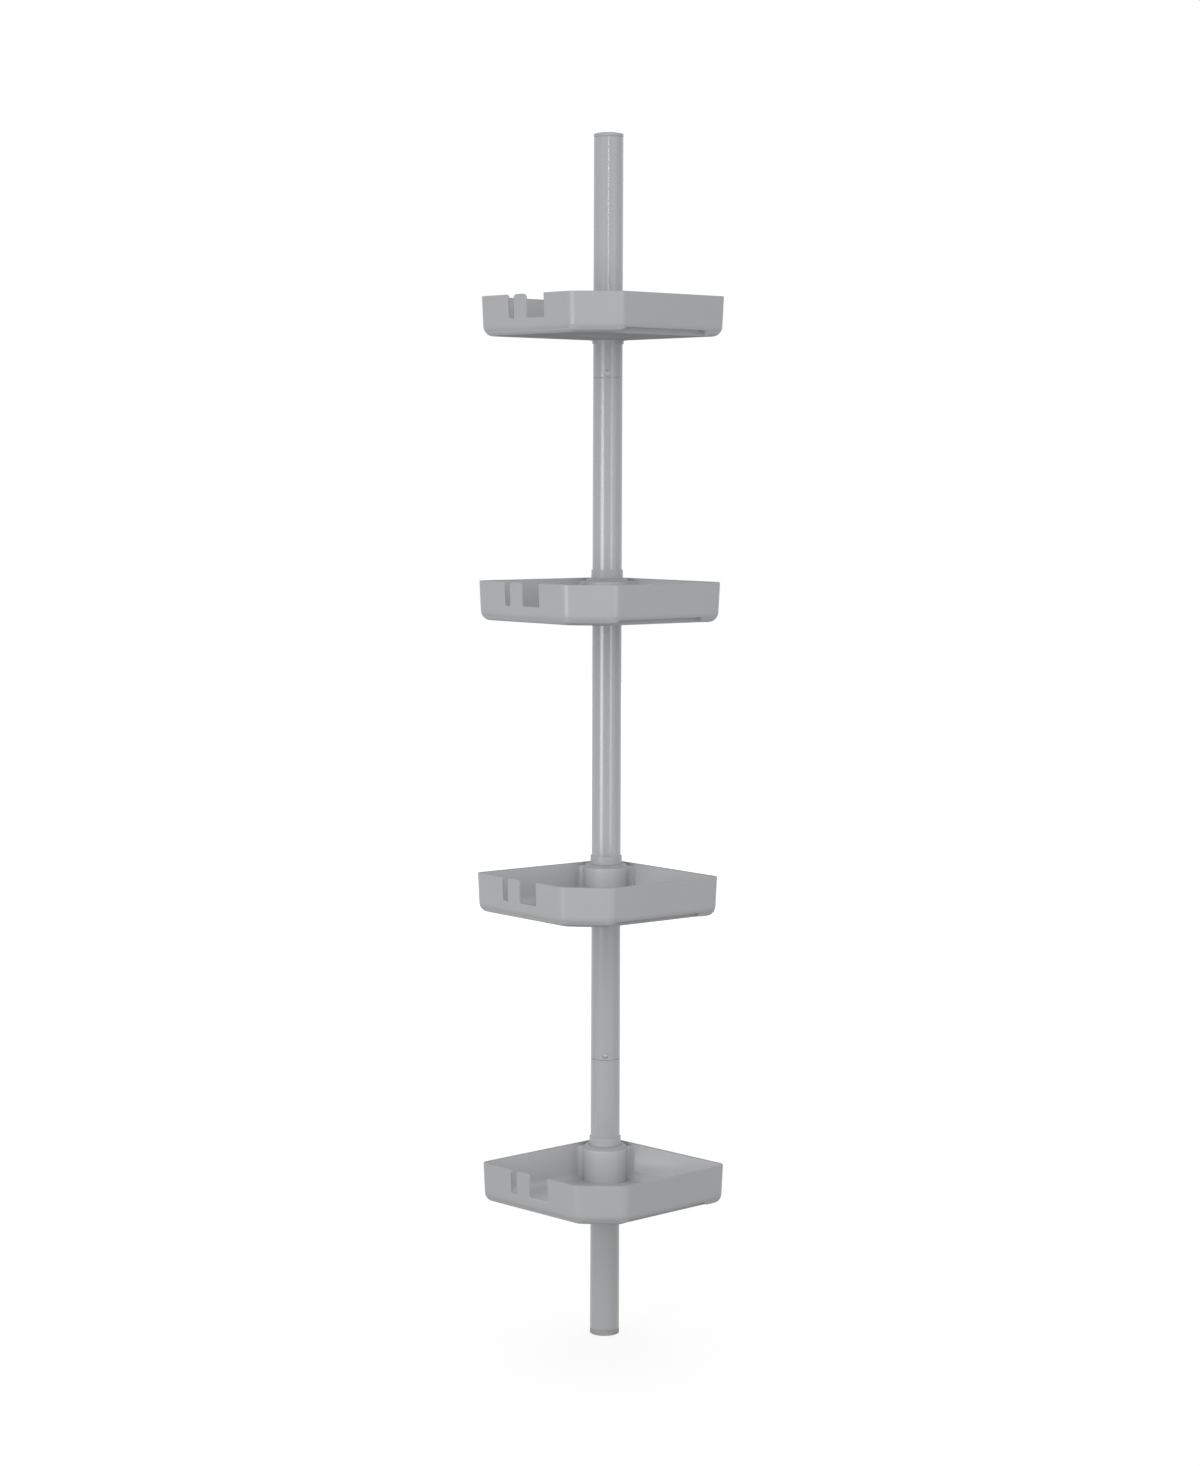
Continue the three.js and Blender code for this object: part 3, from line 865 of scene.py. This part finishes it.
# Up a rounded lower edge: (inset, height) pairs above a base
def roundSteps(radius, base, wall):
    pairs = []
    for inwards, rise in quarterRound(radius, tray["roundSteps"]):
        height = base + rise
        pairs.append((wall + draftAt(height) + inwards, height))
    return pairs


# The rim's path round the two slots, in (x, z), with the way into the plastic at each point
def slotPath():
    top, foot, corner = tray["height"], slots["foot"], slots["footCorner"]
    points = roundedPath([
        (slots["left"], top, 0, 0),
        (slots["narrow"][0], top, slots["flare"], 8),
        (slots["narrow"][0], foot, corner, 4),
        (slots["narrow"][1], foot, corner, 4),
        (slots["narrow"][1], top, slots["tab"], 10),
        (slots["wide"][0], top, slots["tab"], 10),
        (slots["wide"][0], foot, corner, 4),
        (slots["wide"][1], foot, corner, 4),
        (slots["wide"][1], top, slots["shoulder"], 6),
        (slots["right"], top, 0, 0),
    ])
    inwards = []
    for k, point in enumerate(points):
        before = (point - points[max(k - 1, 0)]).normalized()
        after = (points[min(k + 1, len(points) - 1)] - point).normalized()
        along = (before + after).normalized()
        spread = along.dot(after if after.length else before)
        inwards.append(Vector((along.y, -along.x)) / spread)
    return points, inwards


# The wall all round in one skin, with the slotted panel set into it
def trayShell(name, material):
    top, wall = tray["height"], tray["wall"]
    far = tray["side"] - tray["backReach"]
    sill = slots["sill"]
    outside = roundSteps(tray["outerRound"], 0, 0) + [(draftAt(sill), sill)]
    over = [(draftAt(top - drop) + inwards, top - drop) for drop, inwards in rimSteps()]
    inside = [(wall + draftAt(sill), sill)] + roundSteps(tray["innerRound"], tray["floor"], wall)[::-1]
    rings = [trayPlan(inset, height) for inset, height in outside + over + inside]
    points = [point for ring in rings for point in ring]
    panel = tray["cornerSteps"] + 1
    opened = range(len(outside) - 1, len(outside) + len(over))
    faces = ringFaces(len(rings), len(rings[0]), [(k, panel) for k in opened])

    # The panel: its rim along the slots, then its front and its back
    path, inwards = slotPath()
    width = len(rimSteps())
    first = len(points)
    for point, into in zip(path, inwards):
        for drop, through in rimSteps():
            spot = point + into * drop
            points.append((spot.x, -far + draftAt(spot.y) + through, spot.y))
    for k in range(len(path) - 1):
        for j in range(width - 1):
            here = first + k * width + j
            faces.append([here, here + width, here + width + 1, here + 1])
    sills = len(points)
    for through in (0, wall):
        points += [(x, -far + draftAt(sill) + through, sill) for x in (slots["left"], slots["right"])]
    front = [first + k * width for k in range(len(path))]
    back = [k + width - 1 for k in front]
    faces.append([sills, sills + 1] + front[::-1])
    faces.append([sills + 3, sills + 2] + back)
    return solid(name, points, faces, material)


trim = {"skin": 0.5, "above": 4}


# The space just inside the tray's outer faces, open above, which trims what is built into it
def trimSpace(name):
    skin = trim["skin"]
    rings = [trayPlan(inset + skin, height + skin) for inset, height in roundSteps(tray["outerRound"], 0, 0)]
    rings.append(trayPlan(skin, tray["height"] + trim["above"]))
    return lofted(name, rings)


hub = {
    "radius": 21.1,
    "shoulder": 4.5,
    "start": 1.2,  # inside the floor
    "root": 0.6,  # how much wider it is there
    "boss": 18.17,
    "bossStart": 0.05,
    "bossTop": 18.5,
    "edge": 0.4,
    "sides": 120,
}


# The hub's solid body, which the socket is cut from
def hubPost(name, material):
    top, floor = tray["height"], tray["floor"]
    profile = roundedPath([
        (0, hub["start"], 0, 0),
        (hub["radius"] + hub["root"], hub["start"], 0, 0),
        (hub["radius"] + hub["root"], floor, 0, 0),
        (hub["radius"], floor, 0, 0),
        (hub["radius"], top, hub["shoulder"], 12),
        (0, top, 0, 0),
    ])
    return turned(name, profile, material, hub["sides"])


# The ring under the tray, round the collar's socket
def bossRing(name, material):
    profile = roundedPath([
        (0, hub["bossStart"], 0, 0),
        (hub["boss"], hub["bossStart"], hub["edge"], 5),
        (hub["boss"], hub["bossTop"], 0, 0),
        (0, hub["bossTop"], 0, 0),
    ])
    return turned(name, profile, material, hub["sides"])


web = {
    "radius": 4,
    "steps": 10,
    "top": 34,
    "edge": 1,
    "edgeSteps": 4,
    "root": 18.6,  # from the axis, inside the hub
    "back": 1,  # how far short of the hub's middle it ends
    "inFloor": 0.2,
    "inWall": 1.2,
}


# A fillet from the hub's side to the wall at -X, its top edge rounded
def hubWeb(name, material):
    rounded = [(web["top"] - drop, inwards) for drop, inwards in quarterRound(web["edge"], web["edgeSteps"])]
    rings = []
    for height, inset in [(tray["floor"] - web["inFloor"], 0)] + rounded:
        face = tray["wall"] + draftAt(height) - tray["backReach"]
        middle = Vector((face + web["radius"], 0))
        middle.y = -math.sqrt((hub["radius"] + web["radius"]) ** 2 - middle.x ** 2)
        towardsHub = math.atan2(-middle.y, -middle.x)
        ring = []
        for step in range(web["steps"] + 1):
            angle = math.pi + (towardsHub - math.pi) * step / web["steps"]
            ring.append(middle + (web["radius"] + inset) * Vector((math.cos(angle), math.sin(angle))))
        ring.append(middle.normalized() * web["root"])
        ring.append(Vector((-web["root"] - web["back"], -web["back"])))
        ring.append(Vector((face - web["inWall"], -web["back"])))
        ring.append(Vector((face - web["inWall"], middle.y)))
        rings.append([(point.x, point.y, height) for point in ring])
    return lofted(name, rings, material)


# The same fillet mirrored to the wall at +Y
def otherWeb(obj, name):
    mirror = Matrix(((0, -1, 0, 0), (-1, 0, 0, 0), (0, 0, 1, 0), (0, 0, 0, 1)))
    twin = copyOf(obj, name, mirror)
    twin.data.flip_normals()
    return twin


socket = {"low": 15.97, "high": 15.31, "edge": 0.4, "edgeSteps": 4, "past": 2, "sides": 120}


# The tapered socket for the collar, belled at both mouths so that their edges come out rounded
def socketCone(name):
    top, base, past = tray["height"], hub["bossStart"], socket["past"]
    edge, low, high = socket["edge"], socket["low"], socket["high"]
    turns = [90 * step / socket["edgeSteps"] for step in range(socket["edgeSteps"] + 1)]
    profile = [(0, -past), (low + edge, -past)]
    for degrees in turns:
        angle = math.radians(-90 - degrees)
        profile.append((low + edge + edge * math.cos(angle), base + edge + edge * math.sin(angle)))
    for degrees in turns:
        angle = math.radians(180 - degrees)
        profile.append((high + edge + edge * math.cos(angle), top - edge + edge * math.sin(angle)))
    profile += [(high + edge, top + past), (0, top + past)]
    return turned(name, profile, None, socket["sides"])


rebate = {
    "height": 5,
    "depth": 10,
    "ramp": 8,
    "from": -106.8,
    "to": 6.5,
    "lean": 5,
    "edge": 0.8,
    "edgeSteps": 3,
    "below": 2,  # how far its bar stands out under the tray
    "beyond": 4,  # and past the wall
}


# The rebate's bar under the +X wall, leaning outwards as it rises; a skin round it is the ledge inside
def rebateBar(name, skin, material=None):
    low, high, top = rebate["from"] - skin, rebate["to"] + skin, rebate["height"] + skin
    ramp, below = rebate["ramp"], rebate["below"]
    section = [(low, -below), (high, -below), (high, 0), (high - ramp, top), (low + ramp, top), (low, 0)]
    far = tray["side"] - tray["backReach"]
    start = far - tray["draft"] - rebate["depth"] - skin
    lean = math.tan(math.radians(rebate["lean"]))
    rings = [[(x + z * lean, y, z) for y, z in section] for x in (start, far + rebate["beyond"])]
    return soften(lofted(name, rings, material), rebate["edge"], rebate["edgeSteps"])


drains = {
    "count": 5,
    "length": 30,
    "width": 3.4,
    "pitch": 13,
    "middle": 58.3,
    "edge": 0.4,
    "edgeSteps": 3,
    "endSteps": 12,
    "past": 1,
}


# A drain slot's cutter, belled at the floor's two faces
def drainCutter(name):
    edge, steps = drains["edge"], drains["endSteps"]
    bell = [(-drains["past"], edge)]
    bell += [(inwards, drop) for drop, inwards in quarterRound(edge, drains["edgeSteps"])]
    half = (drains["length"] - drains["width"]) / 2
    rings = []
    for height, extra in bell + [(tray["floor"] - height, extra) for height, extra in reversed(bell)]:
        radius = drains["width"] / 2 + extra
        outline = []
        for side in (1, -1):
            for step in range(steps + 1):
                angle = math.radians(-90 + 180 * step / steps)
                x, y = half + radius * math.cos(angle), radius * math.sin(angle)
                outline.append((side * x, side * y, height))
        rings.append(outline)
    return lofted(name, rings)


# Copies of a piece's own mesh in a row
def makeRowTree():
    tree, given = startTree("evenRow", {
        "Piece": ("NodeSocketGeometry", None),
        "Count": ("NodeSocketInt", 5),
        "First": ("NodeSocketVector", (0, 0, 0)),
        "Pitch": ("NodeSocketVector", (0, 0.013, 0)),
        "Material": ("NodeSocketMaterial", None),
    })
    line = tree.nodes.new("GeometryNodeMeshLine")
    copies = tree.nodes.new("GeometryNodeInstanceOnPoints")
    tree.links.new(given["Count"], line.inputs["Count"])
    tree.links.new(given["First"], line.inputs["Start Location"])
    tree.links.new(given["Pitch"], line.inputs["Offset"])
    tree.links.new(line.outputs["Mesh"], copies.inputs["Points"])
    tree.links.new(given["Piece"], copies.inputs["Instance"])
    endTree(tree, copies.outputs["Instances"], given["Material"])
    return tree


# Whether a point in metres is inside the walls
def insideWalls(spot):
    x, y, z = spot / mm
    inset = tray["wall"] / 2 + draftAt(z)
    near = tray["backReach"] - inset
    far = tray["side"] - tray["backReach"] - inset
    cut = 2 * far - tray["chamferLeg"] + inset * (2 - math.sqrt(2))
    lowest = tray["floor"] - 0.1
    return -near < x < far and -far < y < near and x - y < cut and z > lowest


# The upward part of a face's normal: above the first it may be an edge, below the second it is the underside
edgeUp, undersideUp = 0.2, -0.9


# Whether a face is on the rim or the hub's shoulder
def onEdge(face):
    x, y, z = face.center / mm
    onRim = z > tray["height"] - tray["rim"]
    onShoulder = math.hypot(x, y) < hub["radius"] and z > tray["height"] - hub["shoulder"]
    return face.normal.z > edgeUp and (onRim or onShoulder)


# The inside and the underside are painted paler than the outer walls: painted light.
# The rim and the hub's shoulder are painted darker: painted shade. Edges and underside are also duller
def paintTray(mesh):
    names = ("trayPlastic", "trayInsidePaintedLight", "trayUndersideMattePaintedLight", "trayEdgePaintedShade")
    mesh.materials.clear()
    for name in names:
        mesh.materials.append(finish[name])
    for face in mesh.polygons:
        if face.normal.z < undersideUp:
            look = "trayUndersideMattePaintedLight"
        elif onEdge(face):
            look = "trayEdgePaintedShade"
        elif insideWalls(face.center):
            look = "trayInsidePaintedLight"
        else:
            look = "trayPlastic"
        face.material_index = names.index(look)


def makeTray():
    material = finish["trayPlastic"]
    shell = trayShell("tray", material)
    post = combine(hubPost("hub", material), "INTERSECT", trimSpace("trim"))
    ledge = combine(rebateBar("ledge", tray["wall"], material), "INTERSECT", trimSpace("trim"))
    fillet = hubWeb("web", material)
    combine(shell, "UNION", post, otherWeb(fillet, "otherWeb"), fillet, ledge, bossRing("boss", material))
    middle, pitch = drains["middle"], drains["pitch"]
    row = runTree(drainCutter("drains"), makeRowTree(), {
        "Count": drains["count"],
        "First": (middle * mm, (-middle - (drains["count"] - 1) / 2 * pitch) * mm, 0),
        "Pitch": (0, pitch * mm, 0),
        "Material": material,
    })
    combine(shell, "DIFFERENCE", socketCone("socket"), rebateBar("rebate", 0), row)
    paintTray(shell.data)
    return shade(shell)


# Wedge collars: two halves of a cone with a tail, split on a diagonal
collar = {
    "bore": 14.12,
    "foot": 15.77,
    "top": 14.97,
    "height": 45,
    "tail": 14.97,
    "tailTop": -0.3,
    "base": -3.3,
    "split": 1.6,
    "edge": 0.15,
    "sides": 60,
}


# One half, its middle so many degrees from +X
def collarHalf(name, middle):
    profile = [
        (collar["bore"], collar["base"]),
        (collar["tail"], collar["base"]),
        (collar["tail"], collar["tailTop"]),
        (collar["foot"], collar["tailTop"]),
        (collar["top"], collar["height"]),
        (collar["bore"], collar["height"]),
    ]
    start, sweep = middle - 90 + collar["split"], 180 - 2 * collar["split"]
    half = turned(name, profile, finish["collarPlastic"], collar["sides"], start, sweep)
    return shade(soften(half, collar["edge"]))


shelfTurns = {1: 1.8, 2: -2.8, 3: -2, 4: -0.5}  # degrees, from the lowest tray up
plainTray = makeTray()
print("tray made:", len(plainTray.data.polygons), "faces")
plainFront, plainBack = collarHalf("front", -45), collarHalf("back", 135)
for n, degrees in shelfTurns.items():
    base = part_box(f"tray_{n}")[0].z
    move = Matrix.Translation((0, 0, base)) @ Matrix.Rotation(math.radians(degrees), 4, "Z")
    stand(copyOf(plainTray, f"tray{n}", move), f"tray_{n}")
    stand(copyOf(plainFront, f"collarFront{n}", move), f"collar_front_{n}")
    stand(copyOf(plainBack, f"collarBack{n}", move), f"collar_back_{n}")
for obj in (plainTray, plainFront, plainBack):
    bpy.data.objects.remove(obj)
print("shelves placed:", len(shelfTurns))

# Pieces that stay as the CAD made them, inside the pole
innerPieces = {
    "foot_plug": "fittingPlastic",
    "lower_coupler": "fittingPlastic",
    "upper_coupler": "fittingPlastic",
    "lower_button_leaf": "springSteel",
    "upper_button_leaf": "springSteel",
    "lower_leaf_foot": "springSteel",
    "upper_leaf_foot": "springSteel",
    "lock_core": "fittingPlastic",
    "lock_cam": "fittingPlastic",
    "spring_seat": "fittingPlastic",
}
for node, material in innerPieces.items():
    frame["nodes"][node].data.materials.clear()
    frame["nodes"][node].data.materials.append(finish[material])
print("inner pieces finished:", len(innerPieces))

# The floor, the pale surroundings and the lamps, each of which faces the pole level
paleFloor = {
    "radius": 9000,
    "sides": 96,
    "colour": (0.16, 0.16, 0.16, 1),
    "roughness": 0.9,
    "lift": 0.8,  # how bright the camera sees it near the pole; 1 is white
    "near": 700,
    "far": 2600,
}
lamps = {
    "leftStrip": {"azimuth": 8, "distance": 2200, "height": 576, "size": (900, 800), "power": 16.5},
    "rightStrip": {"azimuth": 80, "distance": 2200, "height": 576, "size": (600, 800), "power": 5},
    "topStrip": {"azimuth": 48, "distance": 2200, "height": 1370, "size": (110, 520), "power": 3},
    "sideFill": {"azimuth": 95, "distance": 2300, "height": 760, "size": (1600, 1400), "power": 5},
}
ambient = 0.93  # how strongly the surroundings light the object


# 1 where the camera looks, straight or by gloss or glass, and 0 where light bounces
def lightPathFactor(tree):
    paths = addNode(tree, "ShaderNodeLightPath")
    first = addMath(tree, "MAXIMUM", paths.outputs["Is Camera Ray"], paths.outputs["Is Glossy Ray"])
    return addMath(tree, "MAXIMUM", first, paths.outputs["Is Transmission Ray"])


def makeFloor(size):
    body = bmesh.new()
    bmesh.ops.create_circle(body, cap_ends=True, radius=size["radius"] * mm, segments=size["sides"])
    mesh = bpy.data.meshes.new("floor")
    body.to_mesh(mesh)
    body.free()
    material = bpy.data.materials.new("paleFloor")
    material.use_nodes = True
    tree = material.node_tree
    shader = tree.nodes["Principled BSDF"]
    shader.inputs["Base Color"].default_value = size["colour"]
    shader.inputs["Roughness"].default_value = size["roughness"]
    # The camera sees the floor run out to white; near the pole it keeps the shadow
    coordinates = addNode(tree, "ShaderNodeTexCoord")
    away = addNode(tree, "ShaderNodeVectorMath", operation="LENGTH")
    tree.links.new(coordinates.outputs["Object"], away.inputs[0])
    near, far = size["near"] * mm, size["far"] * mm
    lift = addRange(tree, away.outputs["Value"], near, far, size["lift"], 1)
    glow = addNode(tree, "ShaderNodeEmission")
    tree.links.new(addMath(tree, "MULTIPLY", lift, lightPathFactor(tree)), glow.inputs["Strength"])
    both = addNode(tree, "ShaderNodeAddShader")
    tree.links.new(shader.outputs["BSDF"], both.inputs[0])
    tree.links.new(glow.outputs["Emission"], both.inputs[1])
    tree.links.new(both.outputs["Shader"], tree.nodes["Material Output"].inputs["Surface"])
    mesh.materials.append(material)
    link(bpy.data.objects.new("floor", mesh))


def makeSurroundings(strength):
    world = bpy.data.worlds.new("paleRoom")
    bpy.context.scene.world = world
    world.use_nodes = True
    tree = world.node_tree
    room = tree.nodes["Background"]
    room.inputs["Color"].default_value = (1, 1, 1, 1)
    tree.links.new(addRange(tree, lightPathFactor(tree), 0, 1, strength, 1), room.inputs["Strength"])


def makeLamp(name, place):
    data = bpy.data.lights.new(name, "AREA")
    data.shape = "RECTANGLE"
    data.size, data.size_y = [side * mm for side in place["size"]]
    data.energy = place["power"]
    lamp = link(bpy.data.objects.new(name, data))
    spot = levelWay(place["azimuth"]) * place["distance"] + Vector((0, 0, place["height"]))
    aim = Vector((0, 0, place["height"])) - spot
    lamp.matrix_world = Matrix.Translation(spot * mm) @ aim.to_track_quat("-Z", "Y").to_matrix().to_4x4()
    lamp.visible_camera = False


makeFloor(paleFloor)
makeSurroundings(ambient)
for name, place in lamps.items():
    makeLamp(name, place)
bpy.context.scene.view_settings.view_transform = "Standard"
print("floor and lamps placed")
